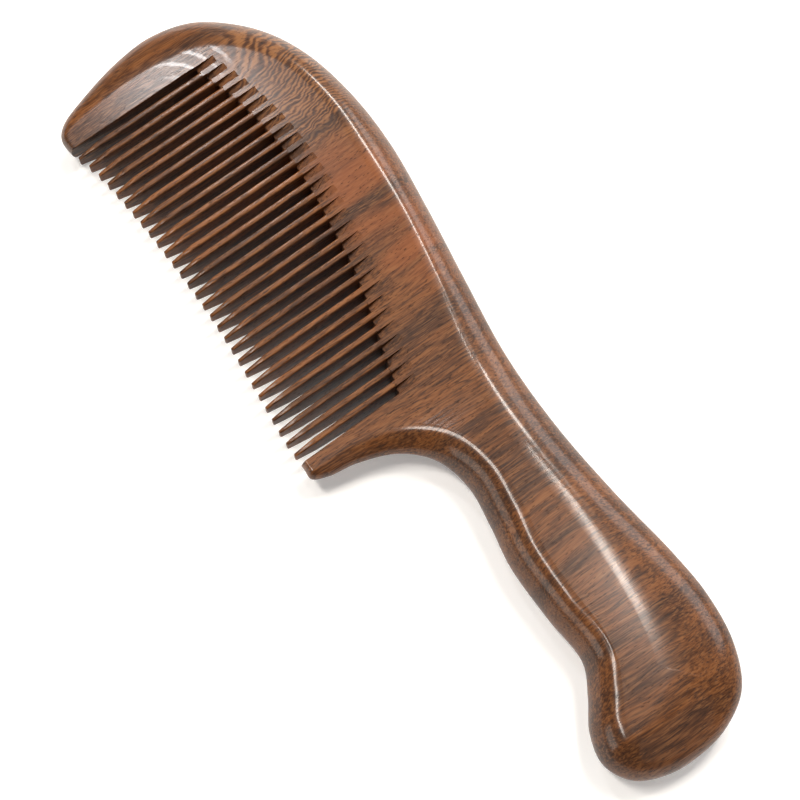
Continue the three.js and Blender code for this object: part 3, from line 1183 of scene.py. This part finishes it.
@dataclass(frozen=True)
class Rosewood:
    """Polished dark rosewood with its grain across the comb.

    Places and lengths are millimetres on the frame. The grain runs along Y, as the teeth do.

    Attributes:
        dark: Colour of the dark growth and of the bottom of the pores.
        brown: Colour of the body of the wood.
        red: Colour of the red streaks.
        tan: Colour of the pale figure.
        ember: Colour of the warm patch above the teeth.
        gloss: Roughness of the sanded wood under the polish.
        shine: How strongly the sanded wood reflects.
        polish: Roughness of the polish.
        coat: How much of the wood the polish covers.
        relief: Height of the grain under the hand, in metres.
        relief_strength: How much of that height shows.
        broad: Bands of growth, centimetres wide.
        fine: Streaks, a millimetre or two wide.
        hair: Single fibres.
        wander: Slow bends in the grain.
        waver: Quick bends in the grain.
        curl: What makes the growth rings of the flame curly.
        fray: What makes the edges of a patch ragged.
        smear: What makes the glossy arcs uneven.
        noise_roughness: How much of the fine detail of every noise shows.
        flame: Where the growth rings show as a flame, over the crown.
        ring_squash: Scale of the rings along X, Y and Z.
        ring_shift: Shift of the middle of the rings, after the scale.
        ring_pace: How closely the rings follow each other.
        ring_wobble: How far the rings are from round.
        ring_detail: Size of the wobble against the rings.
        pore_scale: Pores for each millimetre along X, Y and Z.
        pore_edge: Where the side of a pore starts and ends, as shares of their spacing.
        glow: The warm patch.
        shade: A band of dark growth from the crown to the slots.
        rub: X and Y of the middle of the glossy arcs on the nose.
        rub_step: Distance from one arc to the next.
        rub_wander: How far the arcs stray.
        rub_patch: Where the arcs show.
        patch_edge: Where a patch starts to fade and where it ends, as shares of its reach.
    """

    dark: Triple = (0.015, 0.0066, 0.0038)
    brown: Triple = (0.076, 0.027, 0.0095)
    red: Triple = (0.14, 0.047, 0.0125)
    tan: Triple = (0.21, 0.088, 0.03)
    ember: Triple = (0.22, 0.062, 0.016)
    gloss: float = 0.42
    shine: float = 0.16
    polish: float = 0.15
    coat: float = 0.36
    relief: float = 0.0001
    relief_strength: float = 0.5
    broad: Grain = Grain((0.2, 0.016, 0.05), 2.5)
    fine: Grain = Grain((0.8, 0.035, 0.5), 2.0)
    hair: Grain = Grain((3.2, 0.15, 2.5), 3.0)
    wander: Grain = Grain((0.045, 0.02, 0.03), 1.0, (7.0, 5.0, 3.0))
    waver: Grain = Grain((0.35, 0.12, 0.3), 1.0, (0.9, 0.8, 0.5))
    curl: Grain = Grain((0.3, 0.24, 0.3), 2.0, (3.4, 3.4, 0.0))
    fray: Grain = Grain((0.12, 0.06, 0.1), 3.0, (9.0, 9.0, 0.0))
    smear: Grain = Grain((0.7, 0.7, 0.7), 2.0)
    noise_roughness: float = 0.55
    flame: Patch = Patch(-67, 18, 22, 11)
    ring_squash: Triple = (0.55, 0.42, 0.5)
    ring_shift: Triple = (44.0, -3.4, 0.0)
    ring_pace: float = 0.68
    ring_wobble: float = 5.0
    ring_detail: float = 0.55
    pore_scale: Triple = (3.0, 0.55, 1.8)
    pore_edge: tuple[float, float] = (0.1, 0.3)
    glow: Patch = Patch(-30, 15, 22, 9)
    shade: Patch = Patch(-53, 12, 5, 16)
    rub: tuple[float, float] = (-76, -6)
    rub_step: float = 3.2
    rub_wander: float = 1.2
    rub_patch: Patch = Patch(-83, 6, 9, 10)
    patch_edge: tuple[float, float] = (0.55, 1.15)

    def material(self, name: str) -> bpy.types.Material:
        """Makes the material.

        Args:
            name: Name of the material.

        Returns:
            The finished material.
        """
        made = bpy.data.materials.new(name)
        made.use_nodes = True
        tree = made.node_tree
        tree.nodes.clear()
        coords = node(tree, "ShaderNodeTexCoord", {}, [], "Object")
        place = self._scaled(coords, (1 / MM,) * 3)
        bent = self._moved(place, self.wander, self.waver)
        bands = self._noise(bent, self.broad)
        streaks = self._noise(bent, self.fine)
        fibres = self._noise(bent, self.hair)
        figure = self._figure(bent)
        flame = self._inside(place, self.flame)
        pores = self._pores(bent)
        arcs = self._arcs(place)
        colour = self._colour(place, bands, streaks, fibres, figure, flame, pores)
        height = fibres * 0.35 + streaks * 0.3 - pores * 0.5 + figure * flame * 0.25
        bump = node(
            tree,
            "ShaderNodeBump",
            {},
            {"Strength": self.relief_strength, "Distance": self.relief, "Height": height},
            "Normal",
        )
        shader = node(
            tree,
            "ShaderNodeBsdfPrincipled",
            {},
            {
                "Base Color": colour,
                "Roughness": self.gloss + (fibres - 0.5) * 0.25 + pores * 0.2,
                "Normal": bump,
                "Specular IOR Level": self.shine,
                "Coat Weight": self.coat * (fibres * 1.4 + 0.3) - pores * 0.2 + arcs * 0.5,
                "Coat Roughness": self.polish,
            },
        )
        out = tree.nodes.new("ShaderNodeOutputMaterial")
        tree.links.new(shader.socket, out.inputs["Surface"])
        return made

    def _colour(
        self,
        place: Wire,
        bands: Wire,
        streaks: Wire,
        fibres: Wire,
        figure: Wire,
        flame: Wire,
        pores: Wire,
    ) -> Wire:
        """Lays the colours of the wood over each other.

        Args:
            place: Coordinates in millimetres.
            bands: The broad bands across the comb.
            streaks: The streaks along the grain.
            fibres: The fine fibres.
            figure: The growth rings of the flame.
            flame: How far a point is inside the flame.
            pores: The open pores.

        Returns:
            The colour of the wood.
        """
        # The body of the wood, from dark growth through brown to red.
        deep = (bands * 0.8 + streaks * 0.2).between(0.34, 0.56)
        body = blend(deep * 0.35 + 0.65, self.dark, self.brown)
        red = (streaks * 0.25 + bands * 0.75).between(0.36, 0.64)
        body = blend(red, body, self.red)
        # Pale fibres, thin dark lines between the streaks, then dark fibres.
        body = blend(fibres.between(0.46, 0.7) * 0.5, body, self.tan)
        lines = 1 - (streaks - 0.5).math("ABSOLUTE").between(0.0, 0.05)
        body = blend(lines * (1.1 - fibres) * 0.8, body, self.dark)
        body = blend((1 - fibres.between(0.3, 0.54)) * 0.65, body, self.dark)
        # The warm patch, the curly rings over the crown and the dark band.
        glow = self._inside(place, self.glow) * bands.between(0.35, 0.6)
        body = blend(glow * 0.5, body, self.ember)
        broken = figure * 0.45 + fibres * 0.8 + streaks * 0.5 - 0.45
        rings = blend(broken.between(0.0, 0.45), self.dark, self.brown)
        rings = blend(broken.between(0.3, 0.7), rings, self.tan)
        body = blend(flame * 0.85, body, rings)
        shade = self._inside(place, self.shade) * streaks.between(0.42, 0.6)
        body = blend(shade * 0.7, body, self.dark)
        return blend(pores * 0.75, body, self.dark)

    def _figure(self, place: Wire) -> Wire:
        """Returns the growth rings of the flame, pale on dark.

        Args:
            place: Coordinates in millimetres.
        """
        curly = self._moved(place, self.curl)
        return node(
            place.tree,
            "ShaderNodeTexWave",
            {"wave_type": "RINGS", "rings_direction": "SPHERICAL"},
            {
                "Vector": self._scaled(curly, self.ring_squash, self.ring_shift),
                "Scale": self.ring_pace,
                "Distortion": self.ring_wobble,
                "Detail": 3.0,
                "Detail Scale": self.ring_detail,
                "Detail Roughness": self.noise_roughness,
            },
            "Fac",
        )

    def _pores(self, place: Wire) -> Wire:
        """Returns the short open pores that lie along the grain.

        Args:
            place: Coordinates in millimetres.
        """
        cells = node(
            place.tree,
            "ShaderNodeTexVoronoi",
            {"feature": "F1"},
            {"Vector": self._scaled(place, self.pore_scale), "Scale": 1.0, "Randomness": 1.0},
        )
        return 1 - cells.between(*self.pore_edge)

    def _arcs(self, place: Wire) -> Wire:
        """Returns the arcs on the nose that the last rubbing left glossier than the rest.

        Args:
            place: Coordinates in millimetres.
        """
        x, y = self.rub
        reach = self._length(self._scaled(place, (1.0, 1.0, 0.0), (-x, -y, 0.0)))
        ragged = reach + self._noise(place, self.smear) * self.rub_wander
        wave = (ragged * (2 * math.pi / self.rub_step)).math("SINE")
        return wave.between(0.45, 1.0) * self._inside(place, self.rub_patch)

    def _inside(self, place: Wire, patch: Patch) -> Wire:
        """Returns 1 in the middle of a patch, fading to 0 at its ragged edge.

        Args:
            place: Coordinates in millimetres.
            patch: The patch.
        """
        scale = (1 / patch.reach_x, 1 / patch.reach_y, 0.0)
        shift = (-patch.x / patch.reach_x, -patch.y / patch.reach_y, 0.0)
        reach = self._length(self._scaled(self._moved(place, self.fray), scale, shift))
        return 1 - reach.between(*self.patch_edge)

    def _moved(self, place: Wire, *grains: Grain) -> Wire:
        """Returns coordinates pushed about by noise, as the grain of a real board wanders.

        Args:
            place: Coordinates in millimetres, at which every noise is read.
            grains: The noises, each with its push.
        """
        moved = place
        for grain in grains:
            noise = self._noise(place, grain, "Color")
            centred = self._vector("SUBTRACT", noise, (0.5, 0.5, 0.5))
            moved = self._vector("ADD", moved, self._vector("MULTIPLY", centred, grain.push))
        return moved

    def _noise(self, place: Wire, grain: Grain, output: str = "Fac") -> Wire:
        """Returns noise stretched along the grain.

        Args:
            place: Coordinates in millimetres.
            grain: Its scale and detail.
            output: Fac for one noise, Color for three independent ones.
        """
        return node(
            place.tree,
            "ShaderNodeTexNoise",
            {},
            {
                "Vector": self._scaled(place, grain.scale),
                "Scale": 1.0,
                "Detail": grain.detail,
                "Roughness": self.noise_roughness,
            },
            output,
        )

    @staticmethod
    def _vector(operation: str, first: Wire, second: Union[Wire, Triple]) -> Wire:
        """Adds a Vector Math node.

        Args:
            operation: The operation of the node.
            first: The first vector.
            second: The second vector.
        """
        settings = {"operation": operation}
        return node(first.tree, "ShaderNodeVectorMath", settings, [first, second])

    @staticmethod
    def _length(vector: Wire) -> Wire:
        """Returns the length of a vector."""
        settings = {"operation": "LENGTH"}
        return node(vector.tree, "ShaderNodeVectorMath", settings, [vector], "Value")

    @staticmethod
    def _scaled(place: Wire, scale: Triple, shift: Triple = (0.0, 0.0, 0.0)) -> Wire:
        """Returns scaled and shifted coordinates.

        Args:
            place: Coordinates.
            scale: Scale along X, Y and Z.
            shift: Shift along X, Y and Z, after the scale.
        """
        inputs = {"Vector": place, "Scale": scale, "Location": shift}
        return node(place.tree, "ShaderNodeMapping", {}, inputs)


# ------------------------------------------------------------------------------ studio


# Colour of the warm lamps.
WARM = (1.0, 0.95, 0.88)


@dataclass(frozen=True)
class SoftBox:
    """A soft studio lamp.

    Attributes:
        name: Name of the lamp.
        towards: Direction from the comb to the lamp.
        distance: How far away it is, in metres.
        width: Width of its face, in metres.
        height: Height of its face, in metres.
        power: Its power in watts.
        colour: Colour of its light.
        along: Direction that its width follows.
    """

    name: str
    towards: Triple
    distance: float
    width: float
    height: float
    power: float
    colour: Triple = (1, 1, 1)
    along: Triple = (1, 0, 0)

    def hang(self) -> bpy.types.Object:
        """Hangs the lamp so that it faces the comb.

        Returns:
            The lamp.
        """
        data = bpy.data.lights.new(self.name, "AREA")
        data.shape = "RECTANGLE"
        data.size, data.size_y = self.width, self.height
        data.energy, data.color = self.power, self.colour
        lamp = bpy.data.objects.new(self.name, data)
        back = Vector(self.towards).normalized()
        bpy.context.collection.objects.link(lamp)
        wide = Vector(self.along)
        wide = (wide - back * wide.dot(back)).normalized()
        turn = Matrix((wide, back.cross(wide), back)).transposed()
        lamp.matrix_world = Matrix.Translation(back * self.distance) @ turn.to_4x4()
        return lamp


@dataclass(frozen=True)
class Studio:
    """The pale floor, the lamps and the camera.

    Attributes:
        lens: Focal length in millimetres.
        sensor: Width of the camera's sensor in millimetres.
        eye: Where the camera stands, in metres.
        aim: The point it looks at, in metres.
        roll: How far it is turned about its line of sight, in degrees.
        air: Brightness of the light that comes from all round.
        floor_side: Side of the floor, in metres.
        floor_drop: How far the floor lies below the comb, in metres.
        floor_white: Whiteness and roughness of the floor.
        floor_glow: How much the floor glows, so that it stays pale.
        lamps: The soft lamps.
    """

    lens: float = 76.5
    sensor: float = 36
    eye: Triple = (0.10143, -0.07509, 0.32421)
    aim: Triple = (0.005094, -0.004258, 0.0065)
    roll: float = 0.578
    air: float = 0.1
    floor_side: float = 6
    floor_drop: float = 0.0002
    floor_white: float = 0.9
    floor_glow: float = 0.22
    lamps: tuple[SoftBox, ...] = (
        SoftBox("spine_lamp", (-0.38, 0.62, 0.69), 1.1, 0.42, 0.13, 9, WARM, (1, 0.15, 0)),
        SoftBox("butt_lamp", (-0.12, 0.43, 0.9), 1.1, 0.26, 0.045, 2.8, WARM, (0.5, -0.8, 0)),
        SoftBox("bulb_lamp", (-0.055, 0.32, 0.95), 1.1, 0.05, 0.12, 1.5, WARM),
        SoftBox("under_lamp", (-0.2, -0.93, 0.3), 1.2, 0.6, 0.35, 3.0, WARM),
        SoftBox("belly_lamp", (-0.24, -0.24, 0.93), 1.1, 0.38, 0.16, 7, WARM),
        SoftBox("nose_lamp", (-0.53, 0.04, 0.86), 1.2, 0.13, 0.09, 1.6),
        SoftBox("low_lamp", (-0.1, 0.94, 0.32), 1.2, 0.9, 0.3, 5),
        SoftBox("key_lamp", (-0.6, 0.65, 0.46), 2.0, 1.9, 1.6, 4, WARM),
        SoftBox("fill_lamp", (0.75, 0.2, 0.6), 2.0, 1.9, 1.6, 6, WARM),
    )

    def set_up(self) -> None:
        """Lays the floor, hangs the lamps and stands the camera."""
        self._floor()
        for lamp in self.lamps:
            lamp.hang()
        world = bpy.data.worlds.new("studio_air")
        bpy.context.scene.world = world
        world.use_nodes = True
        background = world.node_tree.nodes["Background"]
        background.inputs["Color"].default_value = (1, 1, 1, 1)
        background.inputs["Strength"].default_value = self.air
        bpy.context.scene.view_settings.view_transform = "Standard"
        self._camera()

    def _camera(self) -> None:
        """Stands the camera."""
        data = bpy.data.cameras.new("camera")
        data.lens, data.sensor_width = self.lens, self.sensor
        data.clip_start = 0.01
        camera = bpy.data.objects.new("camera", data)
        bpy.context.collection.objects.link(camera)
        look = (Vector(self.aim) - Vector(self.eye)).to_track_quat("-Z", "Y")
        roll = Matrix.Rotation(math.radians(self.roll), 4, "Z")
        camera.matrix_world = Matrix.Translation(self.eye) @ look.to_matrix().to_4x4() @ roll
        bpy.context.scene.camera = camera

    def _floor(self) -> None:
        """Lays the pale floor."""
        bpy.ops.mesh.primitive_plane_add(
            size=self.floor_side, location=(0, 0, -self.floor_drop)
        )
        floor = bpy.context.object
        floor.name = "floor"
        paint = bpy.data.materials.new("floor_paint")
        paint.use_nodes = True
        shader = paint.node_tree.nodes["Principled BSDF"]
        shader.inputs["Base Color"].default_value = (*[self.floor_white] * 3, 1)
        shader.inputs["Roughness"].default_value = self.floor_white
        shader.inputs["Emission Color"].default_value = (1, 1, 1, 1)
        shader.inputs["Emission Strength"].default_value = self.floor_glow
        floor.data.materials.append(paint)
        floor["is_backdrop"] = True


# ------------------------------------------------------------------------------ assembly


def bench_for(pattern: Pattern) -> Bench:
    """Finds where the pattern lies in the frame, from the box of the CAD model.

    Args:
        pattern: The maker's pattern.

    Returns:
        The bench.
    """
    low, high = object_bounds()
    rim = pattern.rim()
    steps = 3
    points = [rim.at(i / steps) for i in range(len(rim.points) * steps)]
    left, front = min(p.x for p in points), min(p.y for p in points)
    middle = (low.z + high.z) / 2 / MM
    return Bench(low.x / MM - left, low.y / MM - front, middle, low, high)


def dress(piece: bpy.types.Object, wood: bpy.types.Material, slot: str, *nodes: str) -> None:
    """Finishes a piece and puts it in place of its CAD nodes.

    Args:
        piece: The piece.
        wood: Its material.
        slot: The record's material slot; not used.
        nodes: The CAD nodes it stands for.
    """
    piece.data.materials.clear()
    piece.data.materials.append(wood)
    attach(piece, "root")
    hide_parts(*nodes)
    piece.data.calc_loop_triangles()
    LOG.info("%s: %d triangles", piece.name, len(piece.data.loop_triangles))


def main() -> None:
    """Builds the comb on the frame, piece by piece, and sets up the studio."""
    logging.basicConfig(level=logging.INFO, format="%(name)s: %(message)s")
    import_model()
    deselect()
    pattern = Pattern()
    bench = bench_for(pattern)
    board = Board(pattern, bench)
    wood = Rosewood()
    dress(Head(board).build(), wood.material("head_rosewood"), "head_wood", "head")
    dress(Handle(board).build(), wood.material("handle_rosewood"), "handle_wood", "handle")
    tooth = Tooth(board)
    master = tooth.model()
    # The teeth use a lighter brown and red than the head and handle. This is painted sheen for the
    # light the tooth fronts catch, not a paler wood. The lower coat is a real change of gloss.
    tooth_wood = Rosewood(
        brown=(0.1, 0.036, 0.0125), red=(0.175, 0.06, 0.016), coat=0.2
    ).material("tooth_rosewood_painted_sheen")
    for k in range(pattern.measures.teeth):
        dress(tooth.fit(master, k), tooth_wood, "tooth_wood", f"tooth_{k + 1:02d}")
    bpy.data.objects.remove(master)
    Studio().set_up()


if __name__ == "__main__":
    main()
